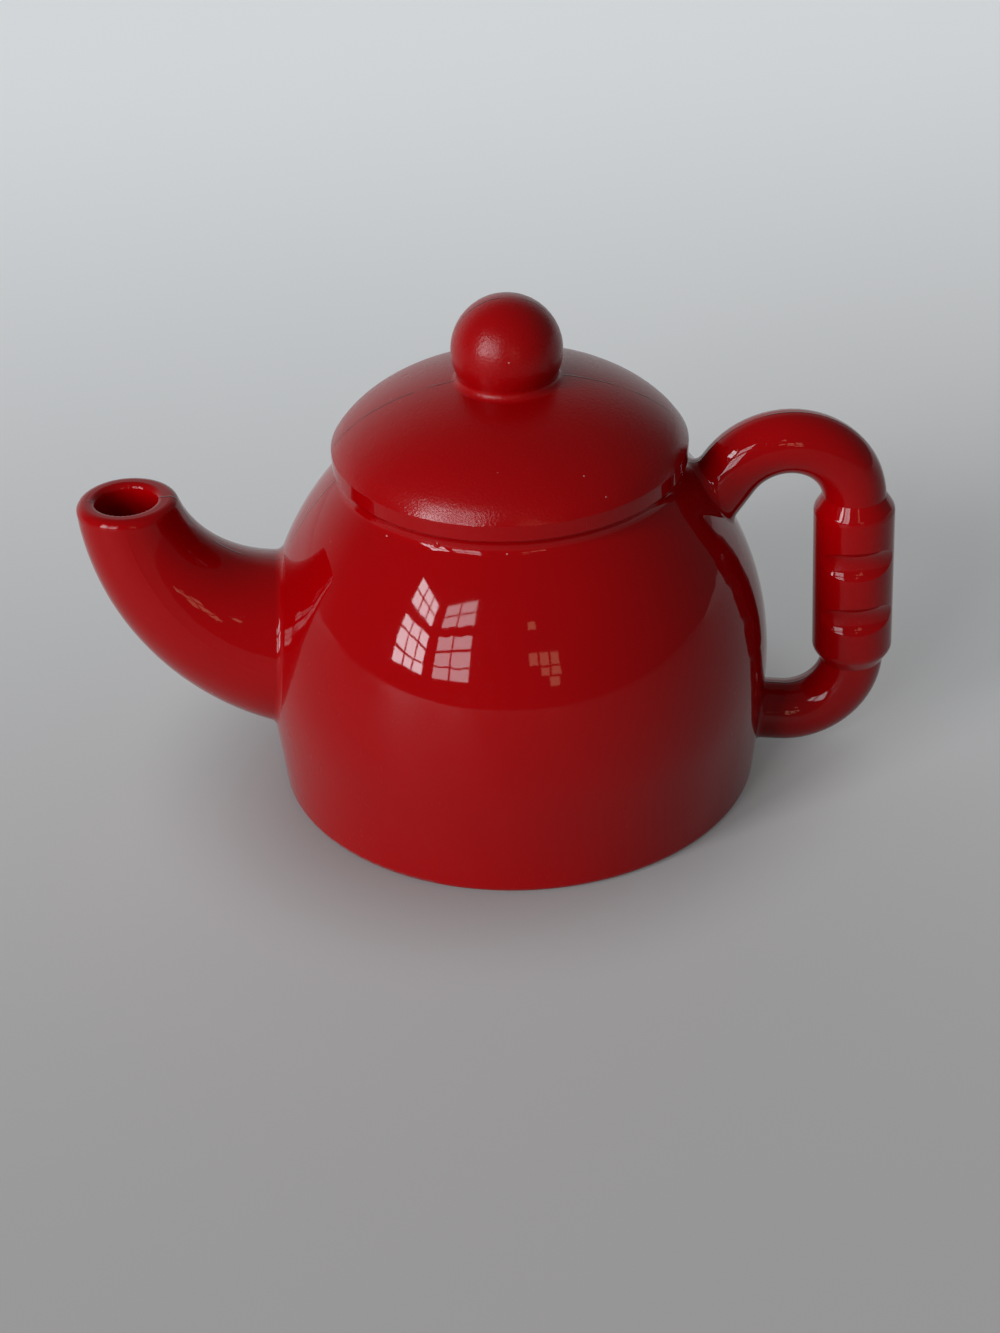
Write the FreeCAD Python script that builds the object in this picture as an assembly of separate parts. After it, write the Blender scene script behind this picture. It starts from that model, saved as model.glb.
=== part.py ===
"""A doll-scale toy teapot, moulded in one piece of glossy plastic.

The pot body, the domed lid with its ball knob, the spout and the hook handle are one moulding.
It was moulded in two halves that part on the plane Y = 0, with a core drawn out of the base.
Units are millimetres, +Z is up, the spout points to -X and the handle stands at +X.
The form is drawn around the pot's own axis, and moved at the end so that the origin is at the
middle of its footprint.
"""
import FreeCAD, Part
import math
import os

V = FreeCAD.Vector
ORIGIN = V(0, 0, 0)
AXIS_Y = V(0, 1, 0)
AXIS_Z = V(0, 0, 1)
TOUCH = 1e-3

# Pot body: a drafted lower side that runs into one arc over the belly and the shoulder.
# The neck is where that arc would reach the level of the lid's band.
BODY_RADIUS = 16.48
BULGE_HEIGHT = 8.61
NECK_RADIUS = 9.83
NECK_HEIGHT = 22.91
SIDE_DRAFT = math.radians(6.0)
BASE_EDGE_ROUND = 0.53

# Lid, one with the body: a cove, then a short upright band under a flat elliptic dome
LID_OVERHANG = 1.43
COVE_ROUND = 0.75
BAND_HEIGHT = 0.97
BAND_EDGE_ROUND = 0.11
DOME_RISE = 4.57
DOME_CENTRE_DROP = 2.53

# Ball knob, sunk a little into the crown of the dome
KNOB_RADIUS = 3.49
KNOB_CENTRE_RISE = 1.69
KNOB_ROUND = 0.42

# Core that leaves the body open from below: a drafted side that runs into a round roof
BASE_WALL = 1.68
CROWN_WALL = 3.26
CORE_DRAFT = math.radians(1.0)

# Spout: a tapering elbow that swings up from the belly, cut level at the mouth
SPOUT_ROOT_DEPTH = 3.24
SPOUT_ROOT_HEIGHT = 10.3
SPOUT_ROOT_RISE = math.radians(4.9)
SPOUT_BEND_RADIUS = 12.26
SPOUT_MOUTH_HEIGHT = 21.27
SPOUT_ROOT_RADIUS = 6.0
SPOUT_MOUTH_RADIUS = 3.16
SPOUT_ROOT_TAPER = 0.15
SPOUT_MOUTH_TAPER = 0.07
SPOUT_SPANS = 8
SPOUT_OVERRUN = math.radians(4.0)
SPOUT_JOIN_ROUND = 0.53
LIP_ROUND = 0.57

# Blind bore that makes the pouring mouth
BORE_RADIUS = 1.9
BORE_DEPTH = 5.25
BORE_EDGE_ROUND = 0.4

# Handle: a round rod bent into a hook, with a thicker grip around its upright stretch
FINGER_GAP = 3.23
HANDLE_LEAN = math.radians(1.3)
ROD_RADIUS = 2.05
ARCH_ROOT_CLEARANCE = 0.19
ARCH_RUN_RISE = math.radians(55.2)
ARCH_BEND_RADIUS = 4.48
ARCH_JOIN_ROUND = 0.63
FOOT_CLEARANCE = 0.16
FOOT_RUN_RISE = math.radians(8.4)
FOOT_BEND_RADIUS = 4.17
FOOT_JOIN_ROUND = 0.53
GRIP_SWELL = 0.58
GRIP_OVERRUN = 0.3
GRIP_CHAMFER = 0.95
GRIP_EDGE_ROUND = 0.8
GRIP_END_SINK = 0.26

# Finger grooves across the front and the back of the grip, dying out short of the parting plane
GROOVE_SPACING = 4.15
GROOVE_HALF_HEIGHT = 1.05
GROOVE_DEPTH = 0.4
GROOVE_END = math.radians(62.0)

# Worked out from the sizes above
LID_RADIUS = NECK_RADIUS + LID_OVERHANG
LID_TOP = NECK_HEIGHT + BAND_HEIGHT
DOME_TOP = LID_TOP + DOME_RISE
GRIP_RADIUS = ROD_RADIUS + GRIP_SWELL
BELLY_DROP = BODY_RADIUS - NECK_RADIUS
BELLY_RISE = NECK_HEIGHT - BULGE_HEIGHT
BELLY_ARC_RADIUS = (BELLY_RISE ** 2 + BELLY_DROP ** 2) / (2 * BELLY_DROP)
SIDE_TOP_RADIUS = BODY_RADIUS - BELLY_ARC_RADIUS * (1 - math.cos(SIDE_DRAFT))
SIDE_TOP_HEIGHT = BULGE_HEIGHT - BELLY_ARC_RADIUS * math.sin(SIDE_DRAFT)
BASE_RADIUS = SIDE_TOP_RADIUS - SIDE_TOP_HEIGHT * math.tan(SIDE_DRAFT)


def turned(outline):
    """Solid of revolution about Z of a closed outline of curves on the plane Y = 0."""
    wire = Part.Wire(Part.__sortEdges__([curve.toShape() for curve in outline]))
    return Part.Face(wire).revolve(ORIGIN, AXIS_Z, 360).Solids[0]


def ellipse_arc(ellipse, one_end, other_end):
    ends = sorted([ellipse.parameter(one_end), ellipse.parameter(other_end)])
    return Part.ArcOfEllipse(ellipse, ends[0], ends[1])


def level_circles(solid, radius, height):
    """Edges of a turned solid that are circles about Z of this radius at this height."""
    found = []
    for edge in solid.Edges:
        if edge.Degenerated or not isinstance(edge.Curve, Part.Circle):
            continue
        if abs(edge.Curve.Radius - radius) < TOUCH and abs(edge.Curve.Center.z - height) < TOUCH:
            found.append(edge)
    return found


def level_edges(solid, height):
    """Edges that lie flat at this height."""
    found = []
    for edge in solid.Edges:
        if edge.Degenerated:
            continue
        heights = [vertex.Z for vertex in edge.Vertexes] + [edge.CenterOfMass.z]
        if max(heights) - min(heights) < TOUCH and abs(heights[0] - height) < TOUCH:
            found.append(edge)
    return found


def joint_edges(joined, one, other):
    """Edges of a joined solid that lie on the skins of both of its parts."""
    found = []
    for edge in joined.Edges:
        if edge.Degenerated:
            continue
        middle = Part.Vertex(edge.valueAt(0.5 * (edge.FirstParameter + edge.LastParameter)))
        reach = [middle.distToShape(part.Shells[0])[0] for part in (one, other)]
        if max(reach) < TOUCH:
            found.append(edge)
    return found


def belly_point(lift, beyond=0):
    """Point where the belly arc's radius stands at an angle above level, or further out along it."""
    centre = V(BODY_RADIUS - BELLY_ARC_RADIUS, 0, BULGE_HEIGHT)
    return centre + V(math.cos(lift), 0, math.sin(lift)) * (BELLY_ARC_RADIUS + beyond)


def shoulder_lift():
    """Angle of the belly arc's radius where the arc runs into the cove, which ends at the lid's band."""
    span_x = LID_RADIUS - (BODY_RADIUS - BELLY_ARC_RADIUS)
    span = math.hypot(span_x, BELLY_RISE)
    reach = BELLY_ARC_RADIUS + COVE_ROUND
    opening = math.acos((span ** 2 + reach ** 2 - COVE_ROUND ** 2) / (2 * span * reach))
    return math.atan2(BELLY_RISE, span_x) - opening


def pot_with_lid():
    """Body, lid and knob as one turned form, still solid inside."""
    base_edge = V(BASE_RADIUS, 0, 0)
    side_top = V(SIDE_TOP_RADIUS, 0, SIDE_TOP_HEIGHT)
    bulge = V(BODY_RADIUS, 0, BULGE_HEIGHT)
    band_low = V(LID_RADIUS, 0, NECK_HEIGHT)
    band_high = V(LID_RADIUS, 0, LID_TOP)
    shoulder_end = belly_point(shoulder_lift())
    cove_centre = belly_point(shoulder_lift(), COVE_ROUND)
    cove_way = (shoulder_end - cove_centre).normalize() + (band_low - cove_centre).normalize()
    cove_middle = cove_centre + cove_way.normalize() * COVE_ROUND

    dome_height = DOME_RISE + DOME_CENTRE_DROP
    dome_reach = LID_RADIUS / math.sqrt(1 - (DOME_CENTRE_DROP / dome_height) ** 2)
    dome_centre = V(0, 0, LID_TOP - DOME_CENTRE_DROP)
    dome = Part.Ellipse(V(dome_reach, 0, dome_centre.z), V(0, 0, DOME_TOP), dome_centre)

    knob_centre = V(0, 0, DOME_TOP + KNOB_CENTRE_RISE)
    knob = Part.Circle(knob_centre, AXIS_Y, KNOB_RADIUS)
    knob_side = knob_centre + V(KNOB_RADIUS, 0, 0)
    knob_top = knob_centre + V(0, 0, KNOB_RADIUS)
    crossing = [point for point in dome.intersectCC(knob) if point.X > 0][0]
    knob_foot = V(crossing.X, 0, crossing.Z)

    pot = turned([
        Part.LineSegment(ORIGIN, base_edge),
        Part.LineSegment(base_edge, side_top),
        Part.Arc(side_top, bulge, shoulder_end),
        Part.Arc(shoulder_end, cove_middle, band_low),
        Part.LineSegment(band_low, band_high),
        ellipse_arc(dome, band_high, knob_foot),
        Part.Arc(knob_foot, knob_side, knob_top),
        Part.LineSegment(knob_top, ORIGIN),
    ])
    band_edges = level_circles(pot, LID_RADIUS, band_low.z) + level_circles(pot, LID_RADIUS, band_high.z)
    pot = pot.makeFillet(BAND_EDGE_ROUND, band_edges)
    pot = pot.makeFillet(KNOB_ROUND, level_circles(pot, knob_foot.x, knob_foot.z))
    pot = pot.makeFillet(BASE_EDGE_ROUND, level_circles(pot, BASE_RADIUS, 0))
    return pot.Solids[0]


def core():
    """Core pin with a drafted side and a ball top, which meet in line."""
    low_radius = BASE_RADIUS - BASE_WALL
    crown_height = DOME_TOP - CROWN_WALL
    roof_centre = (crown_height - low_radius * math.cos(CORE_DRAFT)) / (1 - math.sin(CORE_DRAFT))
    roof_radius = crown_height - roof_centre
    centre = V(0, 0, roof_centre)
    side_low = V(low_radius, 0, 0)
    side_high = centre + V(math.cos(CORE_DRAFT), 0, math.sin(CORE_DRAFT)) * roof_radius
    haunch = centre + V(math.sin(0.25 * math.pi), 0, math.cos(0.25 * math.pi)) * roof_radius
    crown = V(0, 0, crown_height)
    return turned([
        Part.LineSegment(ORIGIN, side_low),
        Part.LineSegment(side_low, side_high),
        Part.Arc(side_high, haunch, crown),
        Part.LineSegment(crown, ORIGIN),
    ])


def spout_station(heading):
    """Point on the spout's bend where it climbs at this heading, and the direction there."""
    turn_x = math.sin(heading) - math.sin(SPOUT_ROOT_RISE)
    turn_z = math.cos(SPOUT_ROOT_RISE) - math.cos(heading)
    root_x = SPOUT_ROOT_DEPTH - BODY_RADIUS
    point = V(root_x - SPOUT_BEND_RADIUS * turn_x, 0, SPOUT_ROOT_HEIGHT + SPOUT_BEND_RADIUS * turn_z)
    return point, V(-math.cos(heading), 0, math.sin(heading))


def spout_mouth_heading():
    """Heading of the bend where it reaches the height of the mouth."""
    climb = (SPOUT_MOUTH_HEIGHT - SPOUT_ROOT_HEIGHT) / SPOUT_BEND_RADIUS
    return math.acos(math.cos(SPOUT_ROOT_RISE) - climb)


def spout_radius(share, length):
    """Radius at a share of the spout's length: a cubic with its own slope at each end."""
    root_slope = -SPOUT_ROOT_TAPER * length
    mouth_slope = -SPOUT_MOUTH_TAPER * length
    blend = share ** 2 * (3 - 2 * share)
    radius = SPOUT_ROOT_RADIUS * (1 - blend) + SPOUT_MOUTH_RADIUS * blend
    radius += root_slope * share * (1 - share) ** 2
    radius -= mouth_slope * share ** 2 * (1 - share)
    return radius


def spout():
    """Spout lofted through circles across its bend, and cut level at the mouth."""
    mouth = spout_mouth_heading()
    turn = mouth - SPOUT_ROOT_RISE
    length = SPOUT_BEND_RADIUS * turn
    sections = []
    for i in range(SPOUT_SPANS + 1):
        share = i / SPOUT_SPANS
        sections.append((SPOUT_ROOT_RISE + turn * share, spout_radius(share, length)))
    beyond = SPOUT_MOUTH_TAPER * SPOUT_BEND_RADIUS * SPOUT_OVERRUN
    sections.append((mouth + SPOUT_OVERRUN, SPOUT_MOUTH_RADIUS - beyond))

    rings = []
    for heading, radius in sections:
        centre, direction = spout_station(heading)
        ring = Part.Circle(centre, direction, radius)
        ring.XAxis = V(0, -1, 0)
        rings.append(Part.Wire([ring.toShape()]))
    elbow = Part.makeLoft(rings, True)
    mouth_centre = spout_station(mouth)[0]
    reach = 2 * SPOUT_ROOT_RADIUS
    above = Part.makeBox(2 * reach, 2 * reach, reach, mouth_centre - V(reach, reach, 0))
    return elbow.cut(above).Solids[0]


def bored(pot):
    """Rounds the spout's lip and drills the bore along the spout's last direction."""
    centre, direction = spout_station(spout_mouth_heading())
    lip_limit = 0.9 * (SPOUT_MOUTH_RADIUS - BORE_RADIUS - BORE_EDGE_ROUND)
    pot = pot.makeFillet(min(LIP_ROUND, lip_limit), level_edges(pot, centre.z)).Solids[0]
    start = centre - direction * BORE_DEPTH
    drill = Part.makeCylinder(BORE_RADIUS, 2 * BORE_DEPTH, start, direction)
    pot = pot.cut(drill).Solids[0]
    ring = 2 * math.pi * 0.5 * (BORE_RADIUS + SPOUT_MOUTH_RADIUS - min(LIP_ROUND, lip_limit))
    bore_edge = [edge for edge in level_edges(pot, centre.z) if edge.Length < ring]
    return pot.makeFillet(BORE_EDGE_ROUND, bore_edge).Solids[0]


def bend(centre, radius, one_side, other_side):
    """Arc between the two tangent lines whose normals point at its centre."""
    middle = (one_side + other_side).normalize()
    return Part.Arc(centre - one_side * radius, centre - middle * radius, centre - other_side * radius)


def handle_frame():
    """A point on the grip's axis level with the bulge, the direction up it, and the way to the pot."""
    point = V(BODY_RADIUS + FINGER_GAP + GRIP_RADIUS, 0, BULGE_HEIGHT)
    up = V(-math.sin(HANDLE_LEAN), 0, math.cos(HANDLE_LEAN))
    inward = V(-math.cos(HANDLE_LEAN), 0, -math.sin(HANDLE_LEAN))
    return point, up, inward


def arch_centre():
    """Centre of the arch's bend, which touches the grip's axis and the run up from the shoulder.

    The run meets the shoulder so far down that its rounded root ends just under the cove.
    """
    axis_point, up, inward = handle_frame()
    below_run = V(math.sin(ARCH_RUN_RISE), 0, -math.cos(ARCH_RUN_RISE))
    corner = 0.5 * math.pi - ARCH_RUN_RISE + shoulder_lift()
    root_drop = ARCH_JOIN_ROUND / math.tan(0.5 * corner) + ARCH_ROOT_CLEARANCE
    root = belly_point(shoulder_lift() - root_drop / BELLY_ARC_RADIUS) + below_run * ROD_RADIUS
    gap = (axis_point + inward * ARCH_BEND_RADIUS - root).dot(below_run)
    climb = (ARCH_BEND_RADIUS - gap) / up.dot(below_run)
    return axis_point + up * climb + inward * ARCH_BEND_RADIUS, below_run


def foot_centre():
    """Centre of the foot's bend, which keeps the rod just clear of the table."""
    axis_point, up, inward = handle_frame()
    height = FOOT_CLEARANCE + ROD_RADIUS + FOOT_BEND_RADIUS
    start = axis_point + inward * FOOT_BEND_RADIUS
    return start + up * ((height - start.z) / up.z), V(math.sin(FOOT_RUN_RISE), 0, math.cos(FOOT_RUN_RISE))


def handle():
    """Hook of round rod and its grip; both ends of the rod run on into the body."""
    up, inward = handle_frame()[1:]
    arch_middle, below_run = arch_centre()
    foot_middle, above_run = foot_centre()
    grip_top = arch_middle - inward * ARCH_BEND_RADIUS
    grip_bottom = foot_middle - inward * FOOT_BEND_RADIUS
    arch_end = arch_middle - below_run * ARCH_BEND_RADIUS
    foot_end = foot_middle - above_run * FOOT_BEND_RADIUS
    arch_way = V(-math.cos(ARCH_RUN_RISE), 0, -math.sin(ARCH_RUN_RISE))
    foot_way = V(-math.cos(FOOT_RUN_RISE), 0, math.sin(FOOT_RUN_RISE))
    arch_tip = arch_end + arch_way * ((BULGE_HEIGHT - arch_end.z) / arch_way.z)
    foot_tip = foot_end + foot_way * (-foot_end.x / foot_way.x)
    path = Part.Wire([
        Part.LineSegment(arch_tip, arch_end).toShape(),
        bend(arch_middle, ARCH_BEND_RADIUS, below_run, inward).toShape(),
        Part.LineSegment(grip_top, grip_bottom).toShape(),
        bend(foot_middle, FOOT_BEND_RADIUS, inward, above_run).toShape(),
        Part.LineSegment(foot_end, foot_tip).toShape(),
    ])
    section = Part.Wire([Part.Circle(arch_tip, arch_way, ROD_RADIUS).toShape()])
    rod = path.makePipeShell([section], True, False)
    length = (grip_top - grip_bottom).Length + 2 * GRIP_OVERRUN
    grip = grip_sleeve(length)
    grip.rotate(ORIGIN, AXIS_Y, -math.degrees(HANDLE_LEAN))
    grip.translate(grip_bottom - up * GRIP_OVERRUN)
    return rod.fuse(grip).Solids[0]


def grip_sleeve(length):
    """Grip upright on Z, chamfered down into the rod at both ends, with its grooves cut."""
    end_radius = ROD_RADIUS - GRIP_END_SINK
    taper = GRIP_CHAMFER * (GRIP_RADIUS - end_radius) / GRIP_SWELL
    low = GRIP_CHAMFER - taper
    high = length - low
    corners = [
        V(0, 0, low),
        V(end_radius, 0, low),
        V(GRIP_RADIUS, 0, low + taper),
        V(GRIP_RADIUS, 0, high - taper),
        V(end_radius, 0, high),
        V(0, 0, high),
    ]
    sides = [Part.LineSegment(corners[i - 1], corners[i]) for i in range(len(corners))]
    grip = turned(sides)
    shoulders = level_circles(grip, GRIP_RADIUS, low + taper) + level_circles(grip, GRIP_RADIUS, high - taper)
    grip = grip.makeFillet(GRIP_EDGE_ROUND, shoulders)

    waist = GRIP_RADIUS - GROOVE_DEPTH
    end_reach = GRIP_RADIUS * math.cos(GROOVE_END)
    sweep = (GRIP_RADIUS ** 2 + waist ** 2 - 2 * waist * end_reach) / (2 * (waist - end_reach))
    hollow = (GROOVE_HALF_HEIGHT ** 2 + GROOVE_DEPTH ** 2) / (2 * GROOVE_DEPTH)
    for step in (-0.5, 0.5):
        height = 0.5 * length + step * GROOVE_SPACING
        for side in (-1, 1):
            centre = V(0, side * (sweep - waist), height)
            grip = grip.cut(Part.makeTorus(sweep + hollow, hollow, centre))
    return grip


def teapot():
    """The whole moulding, its parts fused and rounded, cored and bored."""
    pot = pot_with_lid()
    elbow = spout()
    with_spout = pot.fuse(elbow).Solids[0]
    with_spout = with_spout.makeFillet(SPOUT_JOIN_ROUND, joint_edges(with_spout, pot, elbow)).Solids[0]

    hook = handle()
    whole = with_spout.fuse(hook).Solids[0]
    roots = joint_edges(whole, with_spout, hook)
    whole = whole.makeFillet(ARCH_JOIN_ROUND, [edge for edge in roots if edge.CenterOfMass.z > BULGE_HEIGHT])
    roots = joint_edges(whole, with_spout, hook)
    whole = whole.makeFillet(FOOT_JOIN_ROUND, [edge for edge in roots if edge.CenterOfMass.z < BULGE_HEIGHT])

    whole = bored(whole.cut(core()))
    box = whole.optimalBoundingBox(False, False)
    whole.translate(V(-0.5 * (box.XMin + box.XMax), 0, 0))
    return whole


os.makedirs("parts", exist_ok=True)
model = teapot()
model.exportStep("parts/teapot.step")
size = model.optimalBoundingBox(False, False)
print("solids", len(model.Solids), "valid", model.isValid(), "volume", round(model.Volume, 2))
print("length %.2f width %.2f height %.2f" % (size.XLength, size.YLength, size.ZLength))
print("x %.3f %.3f y %.3f %.3f z %.3f %.3f" % (size.XMin, size.XMax, size.YMin, size.YMax, size.ZMin, size.ZMax))
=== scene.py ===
import math

import bpy
from mathutils import Matrix, Vector

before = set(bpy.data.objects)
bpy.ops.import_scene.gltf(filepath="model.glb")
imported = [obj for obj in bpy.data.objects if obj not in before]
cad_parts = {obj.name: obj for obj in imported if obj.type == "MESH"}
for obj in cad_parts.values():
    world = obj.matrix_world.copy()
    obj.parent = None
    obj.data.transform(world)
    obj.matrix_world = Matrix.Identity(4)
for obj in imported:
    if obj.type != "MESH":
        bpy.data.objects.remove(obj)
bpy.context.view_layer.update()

MM = 0.001
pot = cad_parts["teapot"]

# Places on the pot, in metres, in the frame of the solid
POT_AXIS_X = 1.261 * MM
LID_RADIUS = 11.26 * MM
LID_TOP = 23.88 * MM
LID_BAND_FOOT = 22.91 * MM
CORE_SIDE_RADIUS = 14.0 * MM
CORE_BALL_RADIUS = 13.797 * MM
CORE_BALL_HEIGHT = 11.393 * MM

# Where the mask of each zone is 0 and where it is 1: radii from the pot's axis or from the middle of
# the ball roof, and heights above the table
WITHIN_LID = (LID_RADIUS + 0.6 * MM, LID_RADIUS + 0.2 * MM)
OVER_BAND = (LID_TOP - 0.06 * MM, LID_TOP + 0.06 * MM)
OVER_COVE = (LID_BAND_FOOT - 0.1 * MM, LID_BAND_FOOT)
WITHIN_BALL = (CORE_BALL_RADIUS + 0.3 * MM, CORE_BALL_RADIUS + 0.1 * MM)
WITHIN_SIDE = (CORE_SIDE_RADIUS + 0.2 * MM, CORE_SIDE_RADIUS)
UNDER_ROOF = (CORE_BALL_HEIGHT + MM, CORE_BALL_HEIGHT)

# Dust specks on the shoulder, lid and knob, and a nick under the lid's edge, in millimetres
SPECKS = ((0.24, -10.92, 21.90), (5.14, -8.72, 25.68), (6.38, -9.44, 24.56), (1.17, -3.41, 30.85))
NICK = (-3.89, -9.62, 22.07)

# Colours of the moulding
RED = (0.31, 0.0, 0.001, 1)
RED_WORN = (0.285, 0.0, 0.001, 1)
# Dark red along the seam: painted shade beside its small ridge
SEAM_PAINTED_SHADE = (0.03, 0.0, 0.0, 1)
SPECK_PALE = (0.55, 0.2, 0.18, 1)
WORN_SHARE = 0.5
SEAM_SHARE = 0.9

# Its roughness zone by zone, and what smears, dust and scratches add
GLOSS = 0.03
SATIN = 0.27
RIM_POLISH = 0.15
CORE_MATT = 0.42
SMEAR_ROUGHNESS = 0.02
SPECK_ROUGHNESS = 0.4
SCRATCH_ROUGHNESS = 0.25
PLASTIC_IOR = 1.5
PLASTIC_SPECULAR = 0.22

# Widths and heights of its small relief, in metres
ROLL_WIDTH = 0.95 * MM
ROLL_DROP = 0.16 * MM
SEAM_WIDTH = 0.18 * MM
SEAM_HEIGHT = 0.012 * MM
SPECK_RADIUS = 0.07 * MM
SPECK_CORE = 0.5
SPECK_HEIGHT = 0.02 * MM
NICK_RADIUS = 0.22 * MM
NICK_CORE = 0.3
NICK_HEIGHT = 0.05 * MM
SCRATCH_DEPTH = 0.002 * MM
WAVE_SIZE = 7 * MM
WAVE_HEIGHT = 0.012 * MM
GRAIN_SIZE = 0.17 * MM
GRAIN_HEIGHT = 0.019 * MM

# Wear: the size of its patches in metres, and the levels of noise between which it fades in
CLOUD_SIZE = 6 * MM
CLOUD_LEVELS = (0.35, 0.7)
SMEAR_SIZE = 5 * MM
SMEAR_LEVELS = (0.4, 0.75)
SEAM_PATCH_SIZE = 2.5 * MM
SEAM_LEVELS = (0.36, 0.5)
HAIR_SIZE = 0.5 * MM
HAIR_STRETCH = (9, 9, 0.5)
HAIR_LEVELS = (0.715, 0.73)
HAIR_PATCH_SIZE = 4 * MM
HAIR_PATCH_LEVELS = (0.5, 0.6)

# Dust: the size of a cell in metres, a speck's edge as a share of it, and the lots that draw a speck
DUST_CELL = 1.7 * MM
DUST_EDGE = (0.045, 0.02)
DUST_LOT = (0.90, 0.94)

# Camera, as it stood for the photograph
CAMERA_PLACE = Vector((-7.653, -150.69, 103.12)) * MM
CAMERA_AZIMUTH = math.radians(2.962)
CAMERA_PITCH = math.radians(32.5)
CAMERA_ROLL = math.radians(-2.051)
CAMERA_LENS = 72.92
CAMERA_SENSOR = 36
CAMERA_CLIP = (0.01, 20)

# Pale sheet on the table. Its glow is painted light that the camera and the gloss see, and lights
# nothing; it also lightens the pot's cast shadow.
# Colour and glow change between two places along Y: darker at the front as painted shade, brighter at
# the back as painted light.
# The glow fades in around the pot, which paints a shadow round its foot.
FLOOR_SIZE = 20
# Front colour darker than the back: painted shade
FLOOR_FRONT_SHADED = (0.30, 0.275, 0.26, 1)
FLOOR_BACK = (0.40, 0.41, 0.42, 1)
FLOOR_FADE = (-0.12, 0.14)
FLOOR_ROUGHNESS = 0.55
FLOOR_SPECULAR = 0.2
FLOOR_GLOW = (0.96, 0.99, 1, 1)
GLOW_FRONT = 0.14
GLOW_RISE = 0.32
GLOW_FADE = (-0.06, 0.16)
# Distances from the sheet's middle, under the pot, over which the glow fades in: a painted shadow
# round its foot
PAINTED_SHADOW_RADII = (0.010, 0.026)

# Room around it: dim, brighter low down at the back and a little to the left
ROOM_COLOUR = (0.95, 0.98, 1, 1)
ROOM_BRIGHT_SIDE = (-0.2, 0.95, -0.25)
ROOM_FADE = (0.3, 0.95)
ROOM_DIM = 0.14
ROOM_BRIGHT = 0.85

# Two tall windows on either side of a room corner, and a small warm one, in metres: ends along the
# wall, and sashes as foot, head and rows of panes
WALL = -0.9
FACING_RIGHT = (1, 0, 0)
FACING_BACK = (0, 1, 0)
LEFT_ENDS = (-0.48, -0.86)
LEFT_COLUMNS = 3
FRONT_ENDS = (-0.80, -0.41)
FRONT_COLUMNS = 2
SASHES = ((0.15, 0.52, 3), (0.61, 0.87, 2))
BAR = 0.018
DAYLIGHT = (0.93, 0.95, 1.0)
LEFT_RADIANCE = 23.0
FRONT_RADIANCE = 11.0
WARM_LIGHT = (1.0, 0.6, 0.38)
WARM_RADIANCE = 4.0

# Rows of the small warm window: name, left and right end, columns, foot and head
WARM_ROWS = (
    ("warm_top", 0.03, 0.27, 3, 0.28, 0.37),
    ("warm_middle", 0.11, 0.27, 2, 0.19, 0.28),
    ("warm_low", 0.17, 0.25, 1, 0.12, 0.19),
    ("warm_fanlight", 0.04, 0.12, 1, 0.53, 0.62),
)


class Shader:
    """The node tree of a material or world, with short ways to add nodes and to feed sockets."""

    def __init__(self, owner, surface):
        owner.use_nodes = True
        self.tree = owner.node_tree
        self.surface = self.tree.nodes[surface]

    def feed(self, node, sockets):
        """Link a socket, or set a plain value on the node's own input, for each entry."""
        for key, value in sockets.items():
            if isinstance(value, bpy.types.NodeSocket):
                self.tree.links.new(value, node.inputs[key])
            else:
                node.inputs[key].default_value = value

    def add(self, kind, sockets, **settings):
        node = self.tree.nodes.new(kind)
        for name, value in settings.items():
            setattr(node, name, value)
        self.feed(node, sockets)
        return node

    def math(self, operation, first, second=0.0, clamp=False):
        node = self.add("ShaderNodeMath", {0: first, 1: second}, operation=operation, use_clamp=clamp)
        return node.outputs[0]

    def product(self, first, *others):
        for other in others:
            first = self.math("MULTIPLY", first, other)
        return first

    def total(self, first, *others):
        for other in others:
            first = self.math("ADD", first, other)
        return first

    def span(self, first, second):
        """Length of the slope over two square sides."""
        return self.math("SQRT", self.total(self.product(first, first), self.product(second, second)))

    def ramp(self, value, low, high):
        """0 at low, 1 at high, smooth between; low may be the larger one."""
        node = self.add("ShaderNodeMapRange", {"Value": value, "From Min": low, "From Max": high},
                        interpolation_type="SMOOTHSTEP")
        return node.outputs["Result"]

    def blend(self, factor, first, second):
        """Blend of two numbers; a number Mix node takes them at inputs 2 and 3."""
        return self.add("ShaderNodeMix", {0: factor, 2: first, 3: second}).outputs[0]

    def mix(self, factor, first, second):
        """Blend of two colours; a colour Mix node takes them at inputs 6 and 7."""
        node = self.add("ShaderNodeMix", {0: factor, 6: first, 7: second}, data_type="RGBA")
        return node.outputs[2]

    def noise(self, place, size, detail=2.0, stretch=(1, 1, 1)):
        """Noise whose lumps measure about size, in metres."""
        scaled = self.add("ShaderNodeMapping", {"Vector": place, "Scale": [s / size for s in stretch]})
        node = self.add("ShaderNodeTexNoise",
                        {"Vector": scaled.outputs[0], "Scale": 1.0, "Detail": detail})
        return node.outputs["Fac"]

    def spot(self, place, point, radius, core):
        """1 near a point given in millimetres, 0 past the radius; core is the share that is solid."""
        point = [c * MM for c in point]
        node = self.add("ShaderNodeVectorMath", {0: place, 1: point}, operation="DISTANCE")
        return self.ramp(node.outputs["Value"], radius, core * radius)


def lid_zones(shader, radius, z):
    """Masks of the satin dome and knob, and of the rim, where the dome bends down a little more."""
    within_lid = shader.ramp(radius, *WITHIN_LID)
    over_band = shader.ramp(z, *OVER_BAND)
    over_cove = shader.ramp(z, *OVER_COVE)
    past = shader.math("SUBTRACT", radius, LID_RADIUS - ROLL_WIDTH)
    past = shader.math("DIVIDE", past, ROLL_WIDTH, clamp=True)
    return shader.product(over_band, within_lid), shader.product(past, past, within_lid, over_cove)


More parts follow.
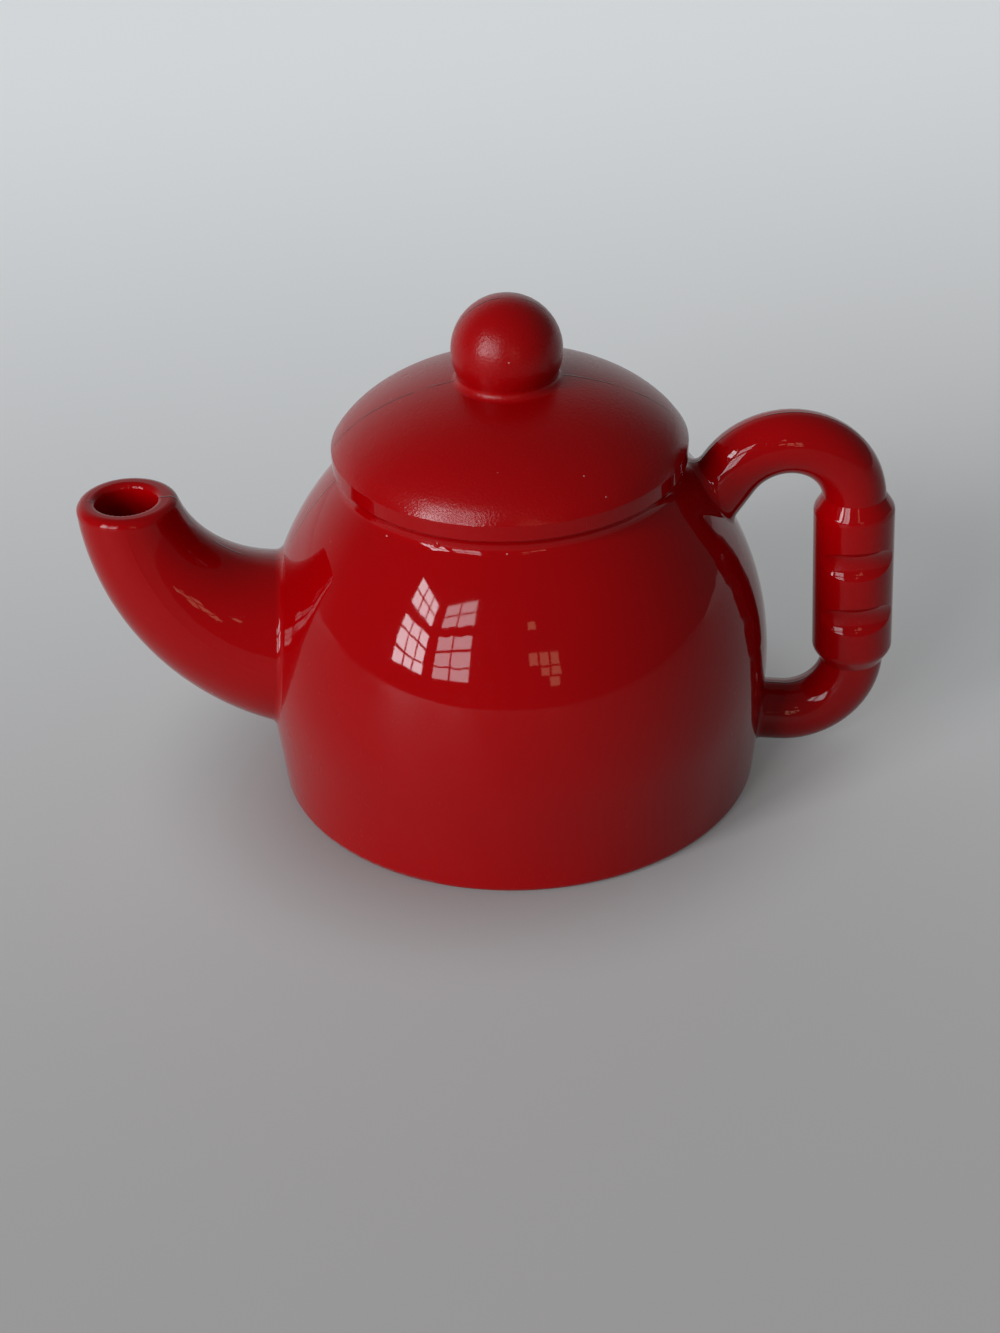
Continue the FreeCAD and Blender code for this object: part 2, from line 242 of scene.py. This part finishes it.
def core_zone(shader, radius, z):
    """Mask of the hollow's wall: within the core's drafted side or its ball roof."""
    ball = shader.span(radius, shader.math("SUBTRACT", z, CORE_BALL_HEIGHT))
    in_side = shader.product(shader.ramp(radius, *WITHIN_SIDE), shader.ramp(z, *UNDER_ROOF))
    return shader.math("MAXIMUM", shader.ramp(ball, *WITHIN_BALL), in_side)


def seam_line(shader, place, y, inside):
    """Hairline where the two mould halves met, broken here and there, and not in the hollow. Its dark
    colour is painted shade along the small ridge.
    """
    line = shader.ramp(shader.math("ABSOLUTE", y), 0.5 * SEAM_WIDTH, 0.1 * SEAM_WIDTH)
    whole = shader.ramp(shader.noise(place, SEAM_PATCH_SIZE), *SEAM_LEVELS)
    return shader.product(line, whole, shader.math("SUBTRACT", 1.0, inside))


def dust(shader, place):
    """A speck in a few of the cells that fill space, and the specks that the photograph shows."""
    cells = shader.add("ShaderNodeTexVoronoi", {"Vector": place, "Scale": 1 / DUST_CELL})
    lot = shader.add("ShaderNodeSeparateColor", {"Color": cells.outputs["Color"]}).outputs[0]
    specks = shader.product(shader.ramp(cells.outputs["Distance"], *DUST_EDGE),
                            shader.ramp(lot, *DUST_LOT))
    for speck in SPECKS:
        specks = shader.math("MAXIMUM", specks, shader.spot(place, speck, SPECK_RADIUS, SPECK_CORE))
    return specks


def scratch_marks(shader, place):
    """Fine upright hairs, in patches."""
    hairs = shader.ramp(shader.noise(place, HAIR_SIZE, 1.0, HAIR_STRETCH), *HAIR_LEVELS)
    patches = shader.ramp(shader.noise(place, HAIR_PATCH_SIZE), *HAIR_PATCH_LEVELS)
    return shader.product(hairs, patches)


def red_plastic():
    """Glossy red plastic with a satin lid and knob, a hairline seam darkened by painted shade, fine
    scratches and dust.
    """
    material = bpy.data.materials.new("red_plastic")
    shader = Shader(material, "Principled BSDF")
    place = shader.add("ShaderNodeTexCoord", {}).outputs["Object"]
    x, y, z = shader.add("ShaderNodeSeparateXYZ", {"Vector": place}).outputs
    radius = shader.span(shader.math("SUBTRACT", x, POT_AXIS_X), y)

    satin, roll = lid_zones(shader, radius, z)
    inside = core_zone(shader, radius, z)
    seam = seam_line(shader, place, y, inside)
    specks = dust(shader, place)
    nick = shader.spot(place, NICK, NICK_RADIUS, NICK_CORE)
    scratches = scratch_marks(shader, place)

    cloud = shader.ramp(shader.noise(place, CLOUD_SIZE, 3.0), *CLOUD_LEVELS)
    colour = shader.mix(shader.product(cloud, WORN_SHARE), RED, RED_WORN)
    # The seam's dark line is painted shade; its ridge comes from the relief below
    colour = shader.mix(shader.product(seam, SEAM_SHARE), colour, SEAM_PAINTED_SHADE)
    colour = shader.mix(specks, colour, SPECK_PALE)

    dome = shader.blend(roll, SATIN, RIM_POLISH)
    roughness = shader.blend(inside, shader.blend(satin, GLOSS, dome), CORE_MATT)
    smear = shader.ramp(shader.noise(place, SMEAR_SIZE, 4.0), *SMEAR_LEVELS)
    roughness = shader.total(roughness,
                             shader.product(smear, SMEAR_ROUGHNESS),
                             shader.product(specks, SPECK_ROUGHNESS),
                             shader.product(scratches, SCRATCH_ROUGHNESS))

    grained = shader.math("MAXIMUM", satin, inside)
    relief = shader.total(shader.product(shader.noise(place, WAVE_SIZE, 1.0), WAVE_HEIGHT),
                          shader.product(shader.noise(place, GRAIN_SIZE), grained, GRAIN_HEIGHT),
                          shader.product(seam, SEAM_HEIGHT),
                          shader.product(specks, SPECK_HEIGHT),
                          shader.product(nick, NICK_HEIGHT),
                          shader.product(scratches, -SCRATCH_DEPTH),
                          shader.product(roll, -ROLL_DROP))
    bump = shader.add("ShaderNodeBump", {"Height": relief, "Distance": 1.0, "Strength": 1.0})

    shader.feed(shader.surface, {"Base Color": colour,
                                 "Roughness": roughness,
                                 "IOR": PLASTIC_IOR,
                                 "Specular IOR Level": PLASTIC_SPECULAR,
                                 "Normal": bump.outputs[0]})
    return material


def pale_sheet():
    """Pale sheet with painted light and shade: darker towards the front, brighter towards the back,
    and with less glow where the pot stands, a painted shadow round its foot.
    """
    material = bpy.data.materials.new("pale_sheet")
    shader = Shader(material, "Principled BSDF")
    place = shader.add("ShaderNodeTexCoord", {}).outputs["Object"]
    y = shader.add("ShaderNodeSeparateXYZ", {"Vector": place}).outputs[1]
    # Darker towards the front: painted shade
    colour = shader.mix(shader.ramp(y, *FLOOR_FADE), FLOOR_FRONT_SHADED, FLOOR_BACK)

    # Glow rising towards the back: painted light
    glow = shader.total(shader.product(shader.ramp(y, *GLOW_FADE), GLOW_RISE), GLOW_FRONT)
    away = shader.add("ShaderNodeVectorMath", {0: place}, operation="LENGTH").outputs["Value"]
    path = shader.add("ShaderNodeLightPath", {}).outputs
    seen = shader.total(path["Is Camera Ray"], path["Is Glossy Ray"], path["Is Transmission Ray"])
    seen = shader.math("MINIMUM", seen, 1.0)
    # Less glow near the pot: painted shadow round its foot
    glow = shader.product(glow, shader.ramp(away, *PAINTED_SHADOW_RADII), seen)

    shader.feed(shader.surface, {"Base Color": colour,
                                 "Roughness": FLOOR_ROUGHNESS,
                                 "Specular IOR Level": FLOOR_SPECULAR,
                                 "Emission Color": FLOOR_GLOW,
                                 "Emission Strength": glow})
    return material


def area_light(name, place, facing, width, height, radiance, colour):
    """Rectangular lamp that faces a direction, with its power worked out from its radiance."""
    light = bpy.data.lights.new(name, "AREA")
    light.shape = "RECTANGLE"
    light.size = width
    light.size_y = height
    light.energy = math.pi * width * height * radiance
    light.color = colour
    lamp = bpy.data.objects.new(name, light)
    lamp.location = place
    lamp.rotation_euler = Vector(facing).to_track_quat("-Z", "Y").to_euler()
    bpy.context.scene.collection.objects.link(lamp)


def window(name, ends, facing, columns, sashes, radiance, colour):
    """Panes between glazing bars, row by row in each sash, between two ends along a wall."""
    start = Vector(ends[0])
    along = Vector(ends[1]) - start
    step = along.length / columns
    for low, high, rows in sashes:
        rise = (high - low) / rows
        for row in range(rows):
            for column in range(columns):
                place = start + along * ((column + 0.5) / columns)
                place.z = low + (row + 0.5) * rise
                area_light("%s_%d_%d_%d" % (name, round(low * 100), row, column), place, facing,
                           step - BAR, rise - BAR, radiance, colour)


def add_camera():
    forward = Vector((math.sin(CAMERA_AZIMUTH) * math.cos(CAMERA_PITCH),
                      math.cos(CAMERA_AZIMUTH) * math.cos(CAMERA_PITCH),
                      -math.sin(CAMERA_PITCH)))
    level = forward.cross(Vector((0, 0, 1))).normalized()
    above = level.cross(forward)
    right = math.cos(CAMERA_ROLL) * level + math.sin(CAMERA_ROLL) * above
    up = -math.sin(CAMERA_ROLL) * level + math.cos(CAMERA_ROLL) * above
    data = bpy.data.cameras.new("camera")
    data.sensor_width = CAMERA_SENSOR
    data.lens = CAMERA_LENS
    data.clip_start, data.clip_end = CAMERA_CLIP
    camera = bpy.data.objects.new("camera", data)
    turn = Matrix((right, up, -forward)).transposed()
    camera.matrix_world = Matrix.Translation(CAMERA_PLACE) @ turn.to_4x4()
    bpy.context.scene.collection.objects.link(camera)
    bpy.context.scene.camera = camera


def add_floor():
    bpy.ops.mesh.primitive_plane_add(size=FLOOR_SIZE)
    floor = bpy.context.object
    floor.name = "floor"
    floor.data.materials.append(pale_sheet())


def add_world():
    world = bpy.data.worlds.new("room")
    shader = Shader(world, "Background")
    direction = shader.add("ShaderNodeTexCoord", {}).outputs["Generated"]
    lean = shader.add("ShaderNodeVectorMath", {0: direction, 1: ROOM_BRIGHT_SIDE},
                      operation="DOT_PRODUCT").outputs["Value"]
    strength = shader.blend(shader.ramp(lean, *ROOM_FADE), ROOM_DIM, ROOM_BRIGHT)
    shader.feed(shader.surface, {"Color": ROOM_COLOUR, "Strength": strength})
    bpy.context.scene.world = world


def add_lamps():
    ends = [(WALL, y, 0) for y in LEFT_ENDS]
    window("left_window", ends, FACING_RIGHT, LEFT_COLUMNS, SASHES, LEFT_RADIANCE, DAYLIGHT)
    ends = [(x, WALL, 0) for x in FRONT_ENDS]
    window("front_window", ends, FACING_BACK, FRONT_COLUMNS, SASHES, FRONT_RADIANCE, DAYLIGHT)
    for name, left, right, columns, foot, head in WARM_ROWS:
        ends = [(left, WALL, 0), (right, WALL, 0)]
        window(name, ends, FACING_BACK, columns, ((foot, head, 1),), WARM_RADIANCE, WARM_LIGHT)


bpy.context.scene.view_settings.view_transform = "Standard"
pot.data.materials.clear()
pot.data.materials.append(red_plastic())
add_camera()
add_floor()
add_world()
add_lamps()
